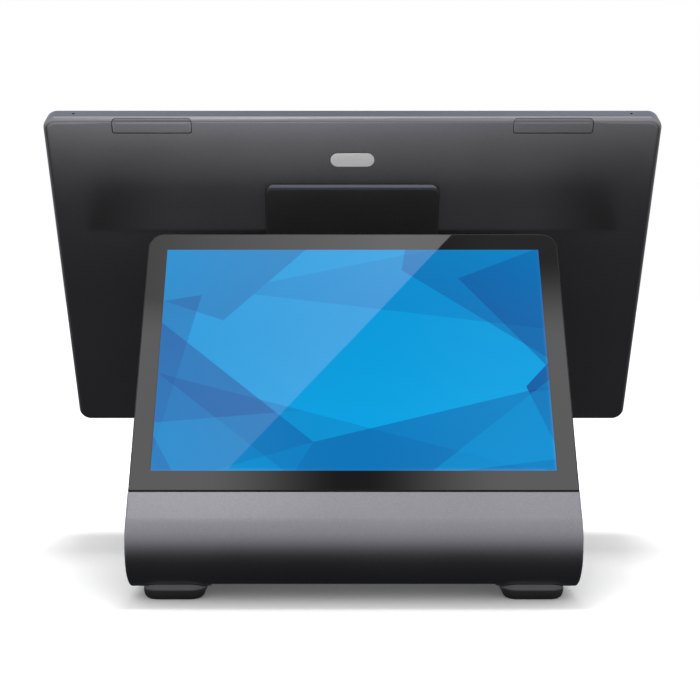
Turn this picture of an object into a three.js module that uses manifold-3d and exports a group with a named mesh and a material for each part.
// Point-of-sale terminal: an operator touchscreen on a tilting hinge, carried by a bent aluminium stand
// whose sloping front holds a second, customer-facing screen.
// Millimetres. X runs across, Y from the customer towards the operator, Z up from the counter.
// The origin is the centre of the overall footprint, on the counter.

import * as THREE from "three";
import { mergeVertices } from "three/addons/utils/BufferGeometryUtils.js";
import Module from "manifold-3d";

const wasm = await Module();
wasm.setup();

// ---------------------------------------------------------------------------------------------
// Driving sizes
// ---------------------------------------------------------------------------------------------

const GAP = 0.3; // seam between pieces that touch
const THROUGH = 1; // how far a cutting tool runs past the face that it opens

// Stand: one slab of even thickness, bent from the base up into the customer panel
const STAND_WIDTH = 240;
const BASE_DEPTH = 215; // front of the bend to the rear edge
const SLAB_THICKNESS = 20;
const BEND_RADIUS = 28; // outer radius of the bend
const PANEL_LEAN = 28.7; // degrees back from upright
const FOOT_HEIGHT = 5.5;
const SHELL_DEPTH = 13; // aluminium shell's share of the slab thickness
const SHELL_WALL = 3;
const COVER_WALL = 2.5;
const REAR_CORNER_RADIUS = 16;
const UNDERSIDE_RELIEF = {
  halfWidth: 75.5,
  height: 1.3,
  chamfer: 2,
  frontHeight: 3.5,
  frontEnd: 14.4,
  slopeEnd: 25.8,
};

// Customer screen
const LIP_HEIGHT = 13.9; // bare aluminium between the bend and the glass
const CUSTOMER_GLASS = { height: 158, thickness: 2, cornerRadius: 9, sideInset: 0.3 };
const CUSTOMER_LCD = {
  sideMargin: 5.2,
  topMargin: 4.2,
  bottomMargin: 4.8,
  thickness: 5,
  rim: 3,
  rimHeight: 0.4,
};
const CUSTOMER_BOARD = { width: 120, height: 70, thickness: 1.6 };

// Feet
const FOOT = { width: 33.3, length: 34, taper: 3, cornerRadius: 5, sideOffset: 23.7, frontOffset: 14.5 };
const REAR_FOOT_OFFSET = 14; // rear foot to the base's rear edge

// Operator display
const DISPLAY = { width: 380, height: 228.4, depth: 12, cornerRadius: 6.5, edgeRadius: 2.5, wall: 1.8 };
const DISPLAY_RECLINE = 30; // degrees back from upright, at rest
const DISPLAY_GLASS_THICKNESS = 2;
const DISPLAY_LCD = { sideMargin: 13, endMargin: 9.2, thickness: 3.2 };
const CHASSIS = { thickness: 1, sideMargin: 8, endMargin: 8.5 };
const MAINBOARD = { width: 170, height: 120, thickness: 1.6, lift: 1 };
const CHIP_HEIGHT = 1.2;
const PORT_COVER = { width: 48.4, height: 9, thickness: 1.6, sideOffset: 67, topOffset: 0.9 };
const PORT_CONNECTOR = { width: 14, height: 5, depth: 4, slotWidth: 8, slotHeight: 2 };
const MICROPHONE_HOLE = { radius: 0.9, sideOffset: 18.5, backOffset: 7 };
const SPEAKER = { width: 40, height: 16, thickness: 2.6, sideOffset: 70 };
const SPEAKER_SLOT = { count: 5, width: 4, height: 1.6, pitch: 6.4 };
const POWER_BUTTON = { width: 10, height: 3.2, proud: 0.8, flange: 1, travel: 0.6, sideOffset: 40 };
const BADGE = { width: 27, height: 9, thickness: 0.8, sunk: 0.5, abovePlate: 16.7 };

// Hinge
const HINGE_Y = 142.7; // axis behind the front of the bend
const HINGE_Z = 155.1; // axis above the counter
const HINGE_REACH = 30; // axis to the back of the display
const BARREL = { radius: 12, halfWidth: 30, bore: 6.3 };
const SHAFT = { radius: 4, hollow: 2.4, headRadius: 7, headThickness: 3, innerEnd: 10 };
const RUNNING_CLEARANCE = 0.25;
const WASHER = { radius: 9, thickness: 1 };
const LEAF = { earThickness: 4, earRadius: 9.5, footThickness: 3, footWidth: 18, halfHeight: 24 };
const MOUNT_PLATE = { width: 109.5, height: 139.2, thickness: 6, cornerRadius: 5, edgeRadius: 1.6 };
const MOUNT_SCREW = { pitch: 75, drop: 6.5 }; // the pattern's centre is below the hinge axis

// Neck
const NECK = { rootLength: 58, boardClearance: 19, coverThickness: 2, sill: 3 };
const NECK_POCKET = { halfWidth: 24, depth: 14 };
const BALLAST = { thickness: 4, sideInset: 6, intoBend: 2, screwSpacingX: 40, screwSpacingY: 38 };

// Sockets in the rear edge of the base
const IO_BOARD = { width: 150, depth: 46, thickness: 1.6 };
const IO_PANEL = { halfWidth: 75.7, thickness: 2 };
const USB_A = { width: 14.4, height: 7, depth: 14, mouthWidth: 12.6, mouthHeight: 5.2, tongue: 1.8 };
const USB_C = { width: 9.6, height: 4.2, depth: 9, mouthWidth: 8.4, mouthHeight: 2.6, tongue: 0.7 };
const SOCKETS = [
  { name: "dc_power_jack", x: -60, width: 9.4, height: 10.6, depth: 13, boreRadius: 3.2, pinRadius: 1 },
  { name: "ethernet_jack", x: -38, width: 15.6, height: 11.4, depth: 17, mouthWidth: 11.8, mouthHeight: 8 },
  { name: "cash_drawer_jack", x: -14, width: 13, height: 11, depth: 15, mouthWidth: 9.8, mouthHeight: 7 },
  { name: "usb_port_left", x: 9, ...USB_A },
  { name: "usb_port_right", x: 31, ...USB_A },
  { name: "usb_c_port", x: 51, ...USB_C },
];

const SCREW = { headRadius: 3.6, headThickness: 1.6, shankRadius: 2, sunk: 0.4 };
const HARNESS_RADIUS = 1.7;

// ---------------------------------------------------------------------------------------------
// Sizes that follow from them
// ---------------------------------------------------------------------------------------------

const lean = THREE.MathUtils.degToRad(PANEL_LEAN);
const recline = THREE.MathUtils.degToRad(DISPLAY_RECLINE);

const bendY = BEND_RADIUS; // centre of the bend
const bendZ = FOOT_HEIGHT + BEND_RADIUS;
const panelBaseY = bendY - BEND_RADIUS * Math.cos(lean); // where the bend runs out into the flat panel
const panelBaseZ = bendZ + BEND_RADIUS * Math.sin(lean);
const panelLength = LIP_HEIGHT + CUSTOMER_GLASS.height;
const deckTop = FOOT_HEIGHT + SLAB_THICKNESS;
const floorTop = FOOT_HEIGHT + SHELL_WALL; // inside of the base's underside wall
const ballastTop = floorTop + GAP + BALLAST.thickness;
const ballastRear = BASE_DEPTH - IO_BOARD.depth - 12;
const neckRootRear = BASE_DEPTH - IO_BOARD.depth - NECK.boardClearance;
const neckRootFront = neckRootRear - NECK.rootLength;

const displayBack = -HINGE_REACH; // in the display's frame, where +Z points at the customer
const displayFront = displayBack - DISPLAY.depth;
const displayTop = DISPLAY.height / 2;
const displaySide = DISPLAY.width / 2;
const plateFace = displayBack + MOUNT_PLATE.thickness;
const leafFace = plateFace + GAP + LEAF.footThickness;
const earInner = BARREL.halfWidth + GAP + WASHER.thickness + GAP;
const earOuter = earInner + LEAF.earThickness;
const leafScrewX = earInner + LEAF.footWidth - SCREW.headRadius - 2;
const leafScrewY = LEAF.halfHeight - 8;

// Overall depth, from the front of the bend to the lower edge of the operator's glass
const overallDepth =
  HINGE_Y + (HINGE_REACH + DISPLAY.depth) * Math.cos(recline) + displayTop * Math.sin(recline);

// ---------------------------------------------------------------------------------------------
// Materials
// ---------------------------------------------------------------------------------------------

function material(color, roughness, metalness) {
  return new THREE.MeshStandardMaterial({ color, roughness, metalness });
}
const anodised = material(0x8f8e96, 0.42, 0.85);
const paintedCover = material(0x3f3f44, 0.5, 0.5);
const blackPlastic = material(0x1c1c1f, 0.55, 0);
const coverGlass = material(0x0c0d0e, 0.08, 0);
const lcdMetal = material(0xa9abad, 0.4, 0.8);
const circuitBoard = material(0x1f4d33, 0.6, 0);
const castMetal = material(0x2b2b2e, 0.5, 0.6);
const steel = material(0x9a9b9d, 0.35, 1);
const rubber = material(0x151516, 0.85, 0);
const brightMetal = material(0xd0d2d4, 0.3, 1);
const bronze = material(0x8a6a3a, 0.4, 0.9);
const cableSheath = material(0x111112, 0.7, 0);

// ---------------------------------------------------------------------------------------------
// Shapes
// ---------------------------------------------------------------------------------------------

function solidOf(geometry) {
  const bare = geometry.clone();
  bare.deleteAttribute("normal");
  bare.deleteAttribute("uv");
  const merged = mergeVertices(bare, 1e-4);
  return new wasm.Manifold(
    new wasm.Mesh({
      numProp: 3,
      vertProperties: merged.attributes.position.array,
      triVerts: new Uint32Array(merged.index.array),
    }),
  );
}

function geometryOf(solid) {
  const mesh = solid.getMesh();
  return new THREE.BufferGeometry()
    .setAttribute("position", new THREE.BufferAttribute(mesh.vertProperties, 3))
    .setIndex(new THREE.BufferAttribute(mesh.triVerts, 1));
}

function cut(body, ...tools) {
  return geometryOf(tools.reduce((left, tool) => left.subtract(solidOf(tool)), solidOf(body)));
}

function join(body, ...others) {
  return geometryOf(others.reduce((sum, other) => sum.add(solidOf(other)), solidOf(body)));
}

function common(body, ...others) {
  return geometryOf(others.reduce((left, other) => left.intersect(solidOf(other)), solidOf(body)));
}

// A block between two corners.
function block(low, high) {
  const size = high.map((value, i) => value - low[i]);
  const middle = high.map((value, i) => (value + low[i]) / 2);
  return new THREE.BoxGeometry(...size).translate(...middle);
}

// A flat outline in X and Y, made solid between two heights.
function plate(outline, zLow, zHigh, curveSegments = 3) {
  const depth = zHigh - zLow;
  const options = { depth, bevelEnabled: false, curveSegments };
  return new THREE.ExtrudeGeometry(outline, options).translate(0, 0, zLow);
}

// An outline drawn in Y and Z, made solid between two places across the width.
const sideways = new THREE.Matrix4().makeBasis(
  new THREE.Vector3(0, 1, 0),
  new THREE.Vector3(0, 0, 1),
  new THREE.Vector3(1, 0, 0),
);
function across(outline, xLow, xHigh, curveSegments = 7) {
  return plate(outline, 0, xHigh - xLow, curveSegments).applyMatrix4(sideways).translate(xLow, 0, 0);
}

// A round bar along one axis, from one place on it to another, through the point (a, b) of the other two.
function rod(axis, radius, low, high, a, b, segments = 24) {
  const bar = new THREE.CylinderGeometry(radius, radius, high - low, segments);
  const middle = (low + high) / 2;
  if (axis === "x") return bar.rotateZ(-Math.PI / 2).translate(middle, a, b);
  if (axis === "y") return bar.translate(a, middle, b);
  return bar.rotateX(Math.PI / 2).translate(a, b, middle);
}

function roundedRect(xLow, xHigh, yLow, yHigh, radius) {
  const outline = new THREE.Shape();
  outline.absarc(xHigh - radius, yHigh - radius, radius, 0, Math.PI / 2, false);
  outline.absarc(xLow + radius, yHigh - radius, radius, Math.PI / 2, Math.PI, false);
  outline.absarc(xLow + radius, yLow + radius, radius, Math.PI, 1.5 * Math.PI, false);
  outline.absarc(xHigh - radius, yLow + radius, radius, 1.5 * Math.PI, 2 * Math.PI, false);
  outline.closePath();
  return outline;
}

// A plate whose edge is rounded on its high face only.
function softPlate(outline, zLow, zHigh, edgeRadius, curveSegments = 3) {
  const rounded = new THREE.ExtrudeGeometry(outline, {
    depth: zHigh - zLow - edgeRadius + THROUGH,
    bevelThickness: edgeRadius,
    bevelSize: edgeRadius,
    bevelOffset: -edgeRadius,
    bevelSegments: 3,
    curveSegments,
  }).translate(0, 0, zLow - THROUGH);
  const far = 1000;
  return cut(rounded, block([-far, -far, zLow - far], [far, far, zLow]));
}

// A pan-head screw along Z with its head at the high end, or at the low end when pointing up.
function screw(x, y, headFace, tip) {
  const down = Math.sign(headFace - tip);
  const neck = headFace - down * SCREW.headThickness;
  const span = (from, to) => [Math.min(from, to), Math.max(from, to)];
  const head = rod("z", SCREW.headRadius, ...span(headFace, neck), x, y, 18);
  const shank = rod("z", SCREW.shankRadius, ...span(neck + down * THROUGH, tip), x, y, 12);
  const recess = rod("z", SCREW.headRadius * 0.45, ...span(headFace + down, headFace - down * 1.1), x, y, 6);
  return cut(join(head, shank), recess);
}

// The hole that such a screw drops into, with clearance all round.
function screwHole(x, y, headFace, tip) {
  const down = Math.sign(headFace - tip);
  const seat = headFace - down * (SCREW.headThickness + GAP);
  const span = (from, to) => [Math.min(from, to), Math.max(from, to)];
  const counterbore = rod("z", SCREW.headRadius + GAP, ...span(headFace + down * 20, seat), x, y, 18);
  const bore = rod("z", SCREW.shankRadius + GAP, ...span(seat + down, tip - down * GAP), x, y, 12);
  return join(counterbore, bore);
}

// ---------------------------------------------------------------------------------------------
// Frames: the customer panel leans back from the bend, and the display turns about its hinge
// ---------------------------------------------------------------------------------------------

const terminal = new THREE.Group();
const stand = new THREE.Group();
stand.position.y = -overallDepth / 2;
terminal.add(stand);

// In the panel's frame Y runs up the panel from the bend and Z points out at the customer.
const panel = new THREE.Group();
panel.position.set(0, panelBaseY, panelBaseZ);
panel.rotation.x = Math.PI / 2 - lean;
stand.add(panel);
panel.updateMatrix();

// In the display's frame the hinge axis is the origin, Y runs up the display and Z points at the customer.
const display = new THREE.Group();
display.position.set(0, HINGE_Y, HINGE_Z);
display.rotation.x = Math.PI / 2 + recline;
stand.add(display);

function inPanel(geometry) {
  return geometry.applyMatrix4(panel.matrix);
}

function add(frame, name, geometry, look) {
  const mesh = new THREE.Mesh(geometry, look);
  mesh.name = name;
  frame.add(mesh);
}

// ---------------------------------------------------------------------------------------------
// Stand
// ---------------------------------------------------------------------------------------------

// A point of the panel in Y and Z: a distance up it from the bend, and a depth below its outer skin.
function panelPoint(up, depth) {
  return [
    panelBaseY + up * Math.sin(lean) + depth * Math.cos(lean),
    panelBaseZ + up * Math.cos(lean) - depth * Math.sin(lean),
  ];
}

// The bent slab between two depths below its outer skin, held back from its ends and sides.
function bentSlab(outer, inner, endInset, sideInset) {
  const top = panelLength - endInset;
  const rear = BASE_DEPTH - endInset;
  const turn = [Math.PI - lean, 1.5 * Math.PI];
  const outline = new THREE.Shape();
  outline.moveTo(...panelPoint(top, outer));
  outline.lineTo(...panelPoint(0, outer));
  outline.absarc(bendY, bendZ, BEND_RADIUS - outer, turn[0], turn[1], false);
  outline.lineTo(rear, FOOT_HEIGHT + outer);
  outline.lineTo(rear, FOOT_HEIGHT + inner);
  outline.absarc(bendY, bendZ, BEND_RADIUS - inner, turn[1], turn[0], true);
  outline.lineTo(...panelPoint(top, inner));
  outline.closePath();
  const half = STAND_WIDTH / 2 - sideInset;
  const far = 600;
  const topRadius = CUSTOMER_GLASS.cornerRadius - sideInset;
  const rearRadius = REAR_CORNER_RADIUS - sideInset;
  const panelEdge = inPanel(plate(roundedRect(-half, half, -far, top, topRadius), -far, far));
  const planEdge = plate(roundedRect(-half, half, -far, rear, rearRadius), -far, far);
  return common(across(outline, -half, half), panelEdge, planEdge);
}

const customerLedge = CUSTOMER_GLASS.thickness + GAP + SHELL_WALL / 2;
const lcdSide = STAND_WIDTH / 2 - CUSTOMER_LCD.sideMargin;
const lcdLow = LIP_HEIGHT + CUSTOMER_LCD.bottomMargin;
const lcdHigh = panelLength - CUSTOMER_LCD.topMargin;
const ioOpening = { low: floorTop + GAP, high: deckTop - COVER_WALL - GAP };

const neckScrewPlaces = [];
for (const sx of [-1, 1]) {
  for (const sy of [-1, 1]) {
    neckScrewPlaces.push([
      (sx * BALLAST.screwSpacingX) / 2,
      (neckRootFront + neckRootRear) / 2 + (sy * BALLAST.screwSpacingY) / 2 - 4,
    ]);
  }
}
const neckScrewFace = floorTop - SCREW.headThickness; // the heads bear on the ballast plate
const neckScrewTip = ballastTop + 9;

// These clamp the shell and the ballast plate up to bosses in the inner cover.
const caseScrewX = UNDERSIDE_RELIEF.halfWidth + UNDERSIDE_RELIEF.chamfer + SCREW.headRadius + 4;
const caseScrewPlaces = [-1, 1].map((side) => [side * caseScrewX, BASE_DEPTH - 76]);
const caseScrewFace = FOOT_HEIGHT + SCREW.sunk;
const caseScrewTip = deckTop - COVER_WALL - 3;

function rearOpening() {
  const half = IO_PANEL.halfWidth + GAP;
  const inner = BASE_DEPTH - SHELL_WALL - THROUGH;
  return block([-half, inner, ioOpening.low], [half, BASE_DEPTH + THROUGH, ioOpening.high]);
}

// The middle of the underside is raised between the two rows of feet, and more so at the front, where the
// slab's bend would otherwise hide it: [place along the base, height] from front to rear.
function undersideRelief() {
  const { halfWidth, height, chamfer, frontHeight, frontEnd, slopeEnd } = UNDERSIDE_RELIEF;
  const stations = [
    [-THROUGH, frontHeight],
    [frontEnd, frontHeight],
    [slopeEnd, height],
    [BASE_DEPTH + THROUGH, height],
  ];
  const under = 10;
  const points = [];
  const section = (y, tall) => {
    const halves = [halfWidth + chamfer, halfWidth + chamfer, halfWidth];
    const levels = [FOOT_HEIGHT - under, FOOT_HEIGHT, FOOT_HEIGHT + tall];
    const right = halves.map((x, i) => [x, y, levels[i]]);
    return [...right, ...right.toReversed().map(([x, , z]) => [-x, y, z])];
  };
  for (const [y, tall] of stations) points.push(...section(y, tall));
  const sides = 6;
  const faces = [];
  for (let i = 1; i < stations.length; i += 1) {
    for (let j = 0; j < sides; j += 1) {
      const next = (j + 1) % sides;
      const [a, b, c, d] = [(i - 1) * sides + j, (i - 1) * sides + next, i * sides + next, i * sides + j];
      faces.push(a, c, b, a, d, c);
    }
  }
  const last = (stations.length - 1) * sides;
  for (let j = 1; j < sides - 1; j += 1) faces.push(0, j, j + 1, last, last + j + 1, last + j);
  const vertices = new Float32Array(points.flat());
  const relief = new THREE.BufferGeometry();
  return relief.setAttribute("position", new THREE.BufferAttribute(vertices, 3)).setIndex(faces);
}

function standShell() {
  const ledgeZone = inPanel(
    block([-STAND_WIDTH, LIP_HEIGHT - SHELL_WALL, -customerLedge], [STAND_WIDTH, panelLength + 50, 50]),
  );
  const cavity = cut(bentSlab(SHELL_WALL, SHELL_DEPTH + THROUGH, SHELL_WALL, SHELL_WALL), ledgeZone);
  const glassSeat = inPanel(
    block(
      [-STAND_WIDTH, LIP_HEIGHT, -CUSTOMER_GLASS.thickness - GAP],
      [STAND_WIDTH, panelLength + 50, 50],
    ),
  );
  const window = inPanel(
    block([-lcdSide - GAP, lcdLow - GAP, -SHELL_DEPTH + THROUGH], [lcdSide + GAP, lcdHigh + GAP, 50]),
  );
  const holes = [
    ...neckScrewPlaces.map(([x, y]) => screwHole(x, y, neckScrewFace, neckScrewTip)),
    ...caseScrewPlaces.map(([x, y]) => screwHole(x, y, caseScrewFace, caseScrewTip)),
  ];
  const body = bentSlab(0, SHELL_DEPTH, 0, 0);
  return cut(body, cavity, glassSeat, window, rearOpening(), undersideRelief(), ...holes);
}

// The operator's side of the slab: deck and panel back in one cover, with a hole for the neck.
function innerCover() {
  const split = SHELL_DEPTH + GAP;
  const cavity = bentSlab(split - THROUGH, SLAB_THICKNESS - COVER_WALL, COVER_WALL, COVER_WALL);
  const neckHole = block(
    [-BARREL.halfWidth - GAP, neckRootFront - GAP, floorTop],
    [BARREL.halfWidth + GAP, neckRootRear + GAP, deckTop + THROUGH],
  );
  const cover = cut(bentSlab(split, SLAB_THICKNESS, 0, 0), cavity, neckHole, rearOpening());
  const bosses = caseScrewPlaces.map(([x, y]) => rod("z", 5.5, ballastTop + GAP, deckTop - THROUGH, x, y));
  const holes = caseScrewPlaces.map(([x, y]) => screwHole(x, y, caseScrewFace, caseScrewTip));
  return cut(join(cover, ...bosses), ...holes);
}

function ballastPlate() {
  const half = STAND_WIDTH / 2 - SHELL_WALL - BALLAST.sideInset;
  const outline = roundedRect(-half, half, bendY - BALLAST.intoBend, ballastRear, 6);
  const holes = [...neckScrewPlaces, ...caseScrewPlaces].map(([x, y]) =>
    rod("z", SCREW.shankRadius + GAP, 0, deckTop, x, y, 12),
  );
  return cut(plate(outline, floorTop + GAP, ballastTop), ...holes);
}

// A foot tapers to the counter and is trimmed to the underside, round the bend at the front.
function foot(x, y) {
  const { width, length, taper, cornerRadius } = FOOT;
  const outline = roundedRect(-width / 2, width / 2, -length / 2, length / 2, cornerRadius);
  const body = new THREE.ExtrudeGeometry(outline, {
    depth: 6,
    bevelThickness: FOOT_HEIGHT - 1.5,
    bevelSize: taper,
    bevelOffset: -taper,
    bevelSegments: 3,
    curveSegments: 4,
  }).translate(x, y, FOOT_HEIGHT - 1.5);
  const above = block([-500, -500, FOOT_HEIGHT + 4], [500, 500, 50]);
  return cut(body, bentSlab(-GAP, SLAB_THICKNESS, -GAP, -GAP), above);
}

add(stand, "stand_shell", standShell(), anodised);
add(stand, "stand_inner_cover", innerCover(), blackPlastic);
add(stand, "ballast_plate", ballastPlate(), steel);
neckScrewPlaces.forEach(([x, y], i) => {
  add(stand, `neck_screw_${i + 1}`, screw(x, y, neckScrewFace, neckScrewTip), steel);
});
caseScrewPlaces.forEach(([x, y], i) => {
  add(stand, `case_screw_${i + 1}`, screw(x, y, caseScrewFace, caseScrewTip), steel);
});

const footX = STAND_WIDTH / 2 - FOOT.sideOffset;
const footRows = {
  front: FOOT.frontOffset + FOOT.length / 2,
  rear: BASE_DEPTH - REAR_FOOT_OFFSET - FOOT.length / 2,
};
for (const [row, y] of Object.entries(footRows)) {
  add(stand, `foot_${row}_left`, foot(-footX, y), rubber);
  add(stand, `foot_${row}_right`, foot(footX, y), rubber);
}

// ---------------------------------------------------------------------------------------------
// Customer screen
// ---------------------------------------------------------------------------------------------

function customerGlass() {
  const { thickness, cornerRadius, sideInset } = CUSTOMER_GLASS;
  const half = STAND_WIDTH / 2 - sideInset;
  const below = LIP_HEIGHT - 4 * cornerRadius; // the lower corners stay square
  const outline = roundedRect(-half, half, below, panelLength - sideInset, cornerRadius);
  return cut(
    plate(outline, -thickness, 0, 5),
    block([-STAND_WIDTH, below - THROUGH, -50], [STAND_WIDTH, LIP_HEIGHT + GAP, 50]),
  );
}

// The panel module, with the lip of its metal frame standing round the lit area.
function customerLcd() {
  const face = -CUSTOMER_GLASS.thickness - GAP;
  const { thickness, rim, rimHeight } = CUSTOMER_LCD;
  const module = block([-lcdSide, lcdLow, face - thickness], [lcdSide, lcdHigh, face]);
  const sunk = block(
    [-lcdSide + rim, lcdLow + rim, face - rimHeight],
    [lcdSide - rim, lcdHigh - rim, face + THROUGH],
  );
  return cut(module, sunk);
}

// A bare board with its chips and connectors standing on the side that faces away from the screen.
function boardWithChips(width, height, thickness, face, chips) {
  const board = block([-width / 2, -height / 2, face - thickness], [width / 2, height / 2, face]);
  const raised = chips.map(([x, y, w, h, tall]) =>
    block([x - w / 2, y - h / 2, face - thickness - tall], [x + w / 2, y + h / 2, face - thickness / 2]),
  );
  return join(board, ...raised);
}

function customerBoard() {
  const { width, height, thickness } = CUSTOMER_BOARD;
  const face = -CUSTOMER_GLASS.thickness - 2 * GAP - CUSTOMER_LCD.thickness - 1;
  const chips = [
    [-30, 10, 16, 16, 1.6],
    [8, 12, 12, 10, 1.4],
    [36, -14, 9, 9, 1.2],
    [0, -28, 44, 6, 3],
  ];
  return boardWithChips(width, height, thickness, face, chips).translate(0, (lcdLow + lcdHigh) / 2, 0);
}

add(panel, "customer_glass", customerGlass(), coverGlass);
add(panel, "customer_lcd", customerLcd(), lcdMetal);
add(panel, "customer_driver_board", customerBoard(), circuitBoard);

// ---------------------------------------------------------------------------------------------
// Sockets
// ---------------------------------------------------------------------------------------------

const boardFace = floorTop + 2 * GAP + IO_BOARD.thickness;
const socketFoot = boardFace + GAP;
const socketMouth = BASE_DEPTH - 0.6;

function socket(port) {
  const { x, width, height, depth } = port;
  const mid = socketFoot + height / 2;
  const back = socketMouth - depth;
  const body = block([x - width / 2, back, socketFoot], [x + width / 2, socketMouth, socketFoot + height]);
  if (port.boreRadius) {
    const bore = rod("y", port.boreRadius, back + 2, socketMouth + THROUGH, x, mid);
    const pin = rod("y", port.pinRadius, back + 1, socketMouth - 2, x, mid, 12);
    return join(cut(body, bore), pin);
  }
  const opened = cut(
    body,
    block(
      [x - port.mouthWidth / 2, back + 2, mid - port.mouthHeight / 2],
      [x + port.mouthWidth / 2, socketMouth + THROUGH, mid + port.mouthHeight / 2],
    ),
  );
  if (!port.tongue) return opened;
  const side = port.mouthWidth * 0.4;
  const half = port.tongue / 2;
  const tongue = block([x - side, back + 1, mid - half], [x + side, socketMouth - 1.5, mid + half]);
  return join(opened, tongue);
}

function ioPanel() {
  const { halfWidth, thickness } = IO_PANEL;
  const face = BASE_DEPTH - 0.2;
  const sheet = block(
    [-halfWidth, face - thickness, ioOpening.low + GAP],
    [halfWidth, face, ioOpening.high - GAP],
  );
  const holes = SOCKETS.map(({ x, width, height }) =>
    block(
      [x - width / 2 - GAP, face - thickness - THROUGH, socketFoot - GAP],
      [x + width / 2 + GAP, face + THROUGH, socketFoot + height + GAP],
    ),
  );
  return cut(sheet, ...holes);
}

// The board carries the sockets along its rear edge, and the harness plug at its front.
const harnessPlug = { y: BASE_DEPTH - IO_BOARD.depth + 2, z: boardFace + 3 };
function ioBoard() {
  const half = IO_BOARD.width / 2 - 2;
  const rear = BASE_DEPTH - SHELL_WALL - GAP - 1;
  const front = BASE_DEPTH - IO_BOARD.depth;
  const board = block([-half, front, boardFace - IO_BOARD.thickness], [half, rear, boardFace]);
  const plug = block([-7, harnessPlug.y, boardFace - 0.5], [7, harnessPlug.y + 8, boardFace + 6]);
  const hub = block([20, front + 6, boardFace - 0.5], [34, front + 20, boardFace + 1.4]);
  const regulator = block([-54, front + 8, boardFace - 0.5], [-42, front + 20, boardFace + 4]);
  return join(board, plug, hub, regulator);
}

add(stand, "io_panel", ioPanel(), blackPlastic);
add(stand, "io_board", ioBoard(), circuitBoard);
for (const port of SOCKETS) add(stand, port.name, socket(port), port.tongue ? brightMetal : blackPlastic);

// ---------------------------------------------------------------------------------------------
// Neck
// ---------------------------------------------------------------------------------------------

const neckFoot = ballastTop + GAP;
const shoulder = deckTop + 4; // the root rises straight to here
const neckRise = HINGE_Z - shoulder;

// The neck's rear edge, from its root up to the barrel, in Y and Z.
const neckRearEdge = new THREE.QuadraticBezierCurve(
  new THREE.Vector2(neckRootRear, shoulder),
  new THREE.Vector2(HINGE_Y - 5, shoulder + 0.4 * neckRise),
  new THREE.Vector2(HINGE_Y + BARREL.radius, HINGE_Z),
);

// Side outline of the neck: a broad root that narrows and leans back into the hinge barrel.
function neckOutline() {
  const outline = new THREE.Shape();
  outline.moveTo(neckRootFront, neckFoot);
  outline.lineTo(neckRootRear, neckFoot);
  outline.lineTo(neckRootRear, shoulder);
  outline.quadraticCurveTo(neckRearEdge.v1.x, neckRearEdge.v1.y, neckRearEdge.v2.x, neckRearEdge.v2.y);
  outline.absarc(HINGE_Y, HINGE_Z, BARREL.radius, 0, Math.PI, false);
  outline.quadraticCurveTo(HINGE_Y - 30, shoulder + 0.52 * neckRise, neckRootFront, shoulder);
  outline.closePath();
  return outline;
}

// The band of the neck within a given depth of its rear edge.
function neckRearBand(halfWidth, depth, low, high) {
  const whole = across(neckOutline(), -halfWidth, halfWidth);
  const forward = across(neckOutline(), -halfWidth - 1, halfWidth + 1).translate(0, -depth, 0);
  const above = block([-200, -500, high], [200, 500, 500]);
  const below = block([-200, -500, -500], [200, 500, low]);
  return cut(whole, forward, above, below);
}

const pocketTop = HINGE_Z - BARREL.radius - 3;

function neckArm() {
  const body = across(neckOutline(), -BARREL.halfWidth, BARREL.halfWidth);
  const pocket = neckRearBand(NECK_POCKET.halfWidth, NECK_POCKET.depth, neckFoot + NECK.sill, pocketTop);
  const bore = rod("x", BARREL.bore, -BARREL.halfWidth - 1, BARREL.halfWidth + 1, HINGE_Y, HINGE_Z, 24);
  const cableWay = block([-5, HINGE_Y - 1, pocketTop - 2], [5, HINGE_Y + 8, HINGE_Z]);
  const holes = neckScrewPlaces.map(([x, y]) => screwHole(x, y, neckScrewFace, neckScrewTip));
  return cut(body, pocket, bore, cableWay, ...holes);
}

function neckCover() {
  return neckRearBand(NECK_POCKET.halfWidth - GAP, NECK.coverThickness, deckTop + 1, pocketTop - GAP);
}

// A plain bush, pressed into each end of the barrel, that grips the hinge shaft.
function hingeBush(side) {
  const ends = [SHAFT.innerEnd + 2, BARREL.halfWidth].map((x) => side * x).sort((a, b) => a - b);
  const outside = rod("x", BARREL.bore - GAP, ...ends, HINGE_Y, HINGE_Z, 24);
  const inside = rod("x", SHAFT.radius + RUNNING_CLEARANCE, ends[0] - 1, ends[1] + 1, HINGE_Y, HINGE_Z, 24);
  return cut(outside, inside);
}

function hingeWasher(side) {
  const low = BARREL.halfWidth + GAP;
  const ends = [low, low + WASHER.thickness].map((x) => side * x).sort((a, b) => a - b);
  const disc = rod("x", WASHER.radius, ...ends, HINGE_Y, HINGE_Z, 24);
  const eye = SHAFT.radius + RUNNING_CLEARANCE;
  return cut(disc, rod("x", eye, ends[0] - 1, ends[1] + 1, HINGE_Y, HINGE_Z, 24));
}

// A round cable through a list of points.
function cable(points, steps) {
  const stops = points.map((point) => new THREE.Vector3(...point));
  const extrudePath = new THREE.CatmullRomCurve3(stops, false, "centripetal");
  const section = new THREE.Shape().absarc(0, 0, HARNESS_RADIUS, 0, 2 * Math.PI, false);
  return new THREE.ExtrudeGeometry(section, { steps, extrudePath, bevelEnabled: false, curveSegments: 4 });
}

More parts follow.
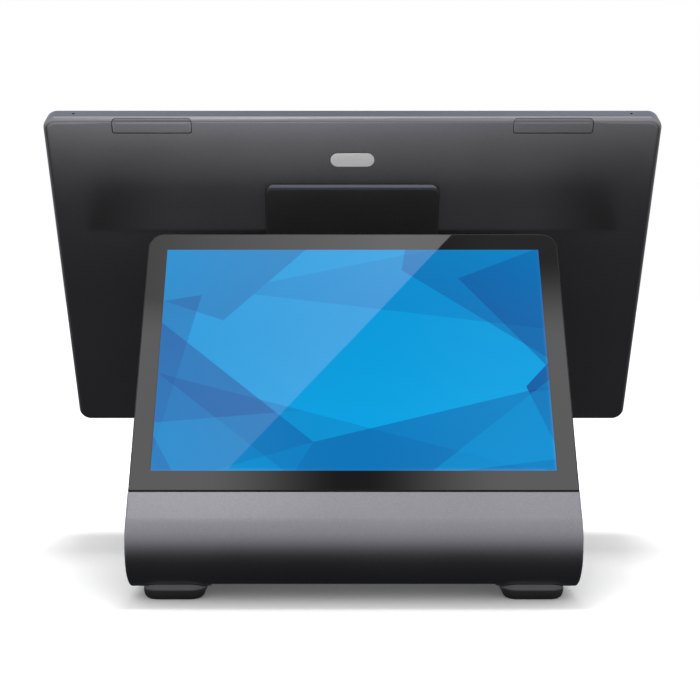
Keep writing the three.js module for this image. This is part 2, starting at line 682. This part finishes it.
// Board to hinge: over the neck's sill, up behind its cover, and into the barrel along the hinge axis.
const harnessEnd = SHAFT.innerEnd - 4;
function standHarness() {
  const overSill = neckFoot + NECK.sill + HARNESS_RADIUS + 1;
  const climb = [0.06, 0.3, 0.55, 0.75].map((t) => {
    const edge = neckRearEdge.getPoint(t);
    const upright = neckRearEdge.getTangent(t).y; // 1 where the edge is vertical
    return [0, edge.x - NECK.coverThickness - (HARNESS_RADIUS + 2) / upright, edge.y];
  });
  return cable(
    [
      [0, harnessPlug.y - GAP, harnessPlug.z],
      [0, harnessPlug.y - 5, harnessPlug.z + 0.4],
      [0, neckRootRear + 7, overSill - 0.6],
      [0, neckRootRear + 0.5, overSill + 0.6],
      [0, neckRootRear - NECK.coverThickness - HARNESS_RADIUS - 1.6, deckTop - 1],
      ...climb,
      [0, HINGE_Y + 3.4, pocketTop],
      [0.5, HINGE_Y + 1.4, HINGE_Z - 5],
      [2.4, HINGE_Y, HINGE_Z - 0.6],
      [harnessEnd, HINGE_Y, HINGE_Z],
    ],
    44,
  );
}

add(stand, "neck_arm", neckArm(), castMetal);
add(stand, "neck_cover", neckCover(), blackPlastic);
add(stand, "hinge_bush_left", hingeBush(-1), bronze);
add(stand, "hinge_bush_right", hingeBush(1), bronze);
add(stand, "hinge_washer_left", hingeWasher(-1), steel);
add(stand, "hinge_washer_right", hingeWasher(1), steel);
add(stand, "stand_harness", standHarness(), cableSheath);

// ---------------------------------------------------------------------------------------------
// Hinge leaves and mounting plate, which turn with the display
// ---------------------------------------------------------------------------------------------

// A leaf's ear rises from its foot to the hinge axis.
function hingeLeaf(side) {
  const ear = new THREE.Shape();
  ear.moveTo(-LEAF.halfHeight, plateFace + GAP);
  ear.lineTo(LEAF.halfHeight, plateFace + GAP);
  ear.lineTo(LEAF.halfHeight, leafFace);
  ear.lineTo(LEAF.earRadius, 0);
  ear.absarc(0, 0, LEAF.earRadius, 0, Math.PI, false);
  ear.lineTo(-LEAF.halfHeight, leafFace);
  ear.closePath();
  const ends = [earInner, earOuter].map((x) => side * x).sort((a, b) => a - b);
  const footEnds = [earInner, earInner + LEAF.footWidth].map((x) => side * x).sort((a, b) => a - b);
  const foot = block(
    [footEnds[0], -LEAF.halfHeight, plateFace + GAP],
    [footEnds[1], LEAF.halfHeight, leafFace],
  );
  const shaftHole = rod("x", SHAFT.radius + GAP, ends[0] - 1, ends[1] + 1, 0, 0, 24);
  const screwHoles = [-1, 1].map((sy) =>
    rod("z", SCREW.shankRadius + GAP, plateFace - 1, leafFace + 1, side * leafScrewX, sy * leafScrewY, 16),
  );
  return cut(join(across(ear, ...ends, 5), foot), shaftHole, ...screwHoles);
}

// A hollow shaft with a flanged head outside the ear: the harness runs through it.
function hingeShaft(side) {
  const headLow = earOuter + GAP;
  const span = (from, to) => [side * from, side * to].sort((a, b) => a - b);
  const shank = rod("x", SHAFT.radius, ...span(SHAFT.innerEnd, headLow + 1), 0, 0, 24);
  const head = rod("x", SHAFT.headRadius, ...span(headLow, headLow + SHAFT.headThickness), 0, 0, 6);
  const hollowSpan = span(SHAFT.innerEnd - THROUGH, headLow + SHAFT.headThickness + THROUGH);
  const hollow = rod("x", SHAFT.hollow, ...hollowSpan, 0, 0, 20);
  return cut(join(shank, head), hollow);
}

const mountScrewTip = displayBack - DISPLAY.wall - 0.1;
const mountScrewFace = plateFace - 0.5;
const mountScrewPlaces = [];
for (const sx of [-1, 1]) {
  for (const sy of [-1, 1]) {
    mountScrewPlaces.push([(sx * MOUNT_SCREW.pitch) / 2, (sy * MOUNT_SCREW.pitch) / 2 - MOUNT_SCREW.drop]);
  }
}
const cableHole = { x: earInner + LEAF.footWidth / 2 + 5, y: 0, radius: 3 };

function mountPlate() {
  const { width, height, cornerRadius, edgeRadius } = MOUNT_PLATE;
  const outline = roundedRect(-width / 2, width / 2, -height / 2, height / 2, cornerRadius);
  const body = softPlate(outline, displayBack + GAP, plateFace, edgeRadius);
  const holes = mountScrewPlaces.map(([x, y]) => screwHole(x, y, mountScrewFace, mountScrewTip));
  for (const sx of [-1, 1]) {
    for (const sy of [-1, 1]) {
      const [x, y] = [sx * leafScrewX, sy * leafScrewY];
      holes.push(rod("z", SCREW.shankRadius + GAP, plateFace - 4, plateFace + THROUGH, x, y, 16));
    }
  }
  holes.push(rod("z", cableHole.radius, displayBack - 1, plateFace + 1, cableHole.x, cableHole.y));
  return cut(body, ...holes);
}

// Hinge to display: out through the right shaft, then down through the leaf and plate.
function displayHarness() {
  const out = earOuter + GAP + SHAFT.headThickness;
  return cable(
    [
      [harnessEnd + 1, 0, 0],
      [out, 0, 0],
      [cableHole.x - 2, 0, -1],
      [cableHole.x, 0, -4],
      [cableHole.x, 0, plateFace + 6],
      [cableHole.x, 0, displayBack - 0.6 * DISPLAY.wall],
    ],
    36,
  );
}

function leafWithCableHole(side) {
  const leaf = hingeLeaf(side);
  if (side < 0) return leaf;
  return cut(leaf, rod("z", cableHole.radius, plateFace - 1, leafFace + 1, cableHole.x, cableHole.y));
}

add(display, "mount_plate", mountPlate(), castMetal);
add(display, "hinge_leaf_left", leafWithCableHole(-1), steel);
add(display, "hinge_leaf_right", leafWithCableHole(1), steel);
add(display, "hinge_shaft_left", hingeShaft(-1), steel);
add(display, "hinge_shaft_right", hingeShaft(1), steel);
add(display, "display_harness", displayHarness(), cableSheath);
mountScrewPlaces.forEach(([x, y], i) => {
  add(display, `mount_screw_${i + 1}`, screw(x, y, mountScrewFace, mountScrewTip), steel);
});
for (const [side, word] of [[-1, "left"], [1, "right"]]) {
  for (const [sy, row] of [[-1, "lower"], [1, "upper"]]) {
    const headFace = leafFace + GAP + SCREW.headThickness;
    const fixing = screw(side * leafScrewX, sy * leafScrewY, headFace, plateFace - 3.5);
    add(display, `leaf_screw_${word}_${row}`, fixing, steel);
  }
}

// ---------------------------------------------------------------------------------------------
// Operator display
// ---------------------------------------------------------------------------------------------

const inside = { side: displaySide - DISPLAY.wall, end: displayTop - DISPLAY.wall };
const lcdFace = displayFront + DISPLAY_GLASS_THICKNESS + GAP;
const chassisFace = lcdFace + DISPLAY_LCD.thickness + GAP;
const mainboardFace = chassisFace + CHASSIS.thickness + GAP;
const coverInside = displayBack - DISPLAY.wall;
const portX = displaySide - PORT_COVER.sideOffset;
const portHigh = displayTop - PORT_COVER.topOffset;
const portLow = portHigh - PORT_COVER.height;
const speakerX = displaySide - SPEAKER.sideOffset;
const speakerZ = coverInside - GAP - SPEAKER.thickness / 2;
const buttonX = displaySide - POWER_BUTTON.sideOffset;
const buttonZ = displayBack - DISPLAY.depth / 2;
const badgeY = MOUNT_PLATE.height / 2 + BADGE.abovePlate;

function coverBody() {
  const outline = roundedRect(-displaySide, displaySide, -displayTop, displayTop, DISPLAY.cornerRadius);
  return softPlate(outline, displayFront, displayBack, DISPLAY.edgeRadius, 5);
}

function portWindow(side, ease) {
  const half = PORT_COVER.width / 2 + ease;
  const x = side * portX;
  const low = displayBack - PORT_COVER.thickness - (ease ? 5 : 0);
  return block([x - half, portLow - ease, low], [x + half, portHigh + ease, displayBack + THROUGH]);
}

function pill(x, y, width, height) {
  return roundedRect(x - width / 2, x + width / 2, y - height / 2, y + height / 2, height / 2 - 0.01);
}

function rearCover() {
  const cavityOutline = roundedRect(
    -inside.side,
    inside.side,
    -inside.end,
    inside.end,
    DISPLAY.cornerRadius - DISPLAY.wall,
  );
  const tools = [plate(cavityOutline, displayFront - THROUGH, coverInside, 5)];
  const micZ = displayBack - MICROPHONE_HOLE.backOffset;
  for (const side of [-1, 1]) {
    tools.push(portWindow(side, GAP));
    const micX = side * (displaySide - MICROPHONE_HOLE.sideOffset);
    tools.push(rod("y", MICROPHONE_HOLE.radius, inside.end - 1, displayTop + 1, micX, micZ, 12));
    for (let i = 0; i < SPEAKER_SLOT.count; i += 1) {
      const x = side * speakerX + (i - (SPEAKER_SLOT.count - 1) / 2) * SPEAKER_SLOT.pitch;
      const halfWidth = SPEAKER_SLOT.width / 2;
      const halfHeight = SPEAKER_SLOT.height / 2;
      tools.push(
        block(
          [x - halfWidth, -displayTop - THROUGH, speakerZ - halfHeight],
          [x + halfWidth, THROUGH - inside.end, speakerZ + halfHeight],
        ),
      );
    }
  }
  const badgeRecess = pill(0, badgeY, BADGE.width + 2 * GAP, BADGE.height + 2 * GAP);
  tools.push(plate(badgeRecess, displayBack - BADGE.sunk, 0));
  const buttonHole = pill(0, 0, POWER_BUTTON.width + 2 * GAP, POWER_BUTTON.height + 2 * GAP);
  const buttonBore = plate(buttonHole, 0, 3 * DISPLAY.wall).rotateX(-Math.PI / 2);
  tools.push(buttonBore.translate(buttonX, -displayTop - DISPLAY.wall, buttonZ));
  for (const [x, y] of mountScrewPlaces) {
    tools.push(rod("z", SCREW.shankRadius + GAP, coverInside - 1, displayBack + 1, x, y, 16));
  }
  tools.push(rod("z", cableHole.radius, coverInside - 1, displayBack + 1, cableHole.x, cableHole.y));
  return cut(coverBody(), ...tools);
}

function displayGlass() {
  const side = inside.side - GAP;
  const end = inside.end - GAP;
  const outline = roundedRect(-side, side, -end, end, DISPLAY.cornerRadius - DISPLAY.wall - GAP);
  return plate(outline, displayFront, displayFront + DISPLAY_GLASS_THICKNESS, 5);
}

function displayLcd() {
  const side = inside.side - DISPLAY_LCD.sideMargin;
  const end = inside.end - DISPLAY_LCD.endMargin;
  const rim = 2.5;
  const module = block([-side, -end, lcdFace], [side, end, lcdFace + DISPLAY_LCD.thickness]);
  return cut(module, block([-side + rim, -end + rim, lcdFace - 1], [side - rim, end - rim, lcdFace + 0.4]));
}

// A pressed sheet behind the panel, with a large opening and a tab at each corner.
function displayChassis() {
  const side = inside.side - CHASSIS.sideMargin;
  const end = inside.end - CHASSIS.endMargin;
  const back = chassisFace + CHASSIS.thickness;
  const sheet = plate(roundedRect(-side, side, -end, end, 5), chassisFace, back);
  const opening = (x) =>
    plate(roundedRect(x - 26, x + 26, 30 - end, end - 30, 6), chassisFace - THROUGH, back + THROUGH);
  return cut(sheet, opening(MAINBOARD.width / 2 + 34), opening(-MAINBOARD.width / 2 - 34));
}

function mainboard() {
  const { width, height, thickness } = MAINBOARD;
  const chips = [
    [-40, 20, 24, 24, CHIP_HEIGHT],
    [0, 24, 14, 12, CHIP_HEIGHT * 0.9],
    [0, 4, 14, 12, CHIP_HEIGHT * 0.9],
    [46, -8, 18, 18, CHIP_HEIGHT],
    [-30, -40, 40, 8, CHIP_HEIGHT * 1.1],
  ];
  const raised = chips.map(([x, y, w, h, tall]) =>
    block(
      [x - w / 2, y - h / 2, mainboardFace + thickness / 2],
      [x + w / 2, y + h / 2, mainboardFace + thickness + tall],
    ),
  );
  const board = block(
    [-width / 2, -height / 2, mainboardFace],
    [width / 2, height / 2, mainboardFace + thickness],
  );
  return join(board, ...raised);
}

function portConnector(side) {
  const { width, height, depth, slotWidth, slotHeight } = PORT_CONNECTOR;
  const x = side * portX;
  const y = (portLow + portHigh) / 2 - 1;
  const face = displayBack - PORT_COVER.thickness - 2 * GAP;
  const body = block([x - width / 2, y - height / 2, face - depth], [x + width / 2, y + height / 2, face]);
  const slot = block(
    [x - slotWidth / 2, y - slotHeight / 2, face - 3],
    [x + slotWidth / 2, y + slotHeight / 2, face + THROUGH],
  );
  return cut(body, slot);
}

function speaker(side) {
  const { width, height, thickness } = SPEAKER;
  const x = side * speakerX;
  const low = -inside.end + 3;
  const box = block(
    [x - width / 2, low, speakerZ - thickness / 2],
    [x + width / 2, low + height, speakerZ + thickness / 2],
  );
  return cut(box, rod("z", height * 0.36, speakerZ - 0.3, speakerZ + thickness, x, low + height / 2));
}

// The button's cap stands through the lower wall, and its flange keeps it in.
function powerButton() {
  const { width, height, proud, flange } = POWER_BUTTON;
  const capLength = proud + DISPLAY.wall + GAP + flange;
  const cap = plate(pill(0, 0, width, height), 0, capLength);
  const [wide, tall] = [width / 2 + 1.2, height / 2 + 1];
  const collar = block([-wide, -tall, capLength - flange], [wide, tall, capLength]);
  return join(cap, collar).rotateX(-Math.PI / 2).translate(buttonX, -displayTop - proud, buttonZ);
}

function powerSwitch() {
  const low = -inside.end + GAP + POWER_BUTTON.flange + POWER_BUTTON.travel + GAP;
  const body = block([buttonX - 3, low + 0.6, buttonZ - 1.6], [buttonX + 3, low + 3.6, buttonZ + 1.6]);
  return join(body, rod("y", 1.1, low, low + 1, buttonX, buttonZ, 16));
}

function badge() {
  const outline = pill(0, badgeY, BADGE.width, BADGE.height);
  const low = displayBack - BADGE.sunk + GAP;
  return plate(outline, low, low + BADGE.thickness, 5);
}

add(display, "display_rear_cover", rearCover(), paintedCover);
add(display, "display_glass", displayGlass(), coverGlass);
add(display, "display_lcd", displayLcd(), lcdMetal);
add(display, "display_chassis", displayChassis(), steel);
add(display, "display_mainboard", mainboard(), circuitBoard);
for (const [side, word] of [[-1, "left"], [1, "right"]]) {
  add(display, `port_cover_${word}`, common(coverBody(), portWindow(side, 0)), paintedCover);
  add(display, `port_connector_${word}`, portConnector(side), blackPlastic);
  add(display, `display_speaker_${word}`, speaker(side), blackPlastic);
}
add(display, "power_button", powerButton(), blackPlastic);
add(display, "power_switch", powerSwitch(), steel);
add(display, "blank_badge", badge(), brightMetal);

export default terminal;
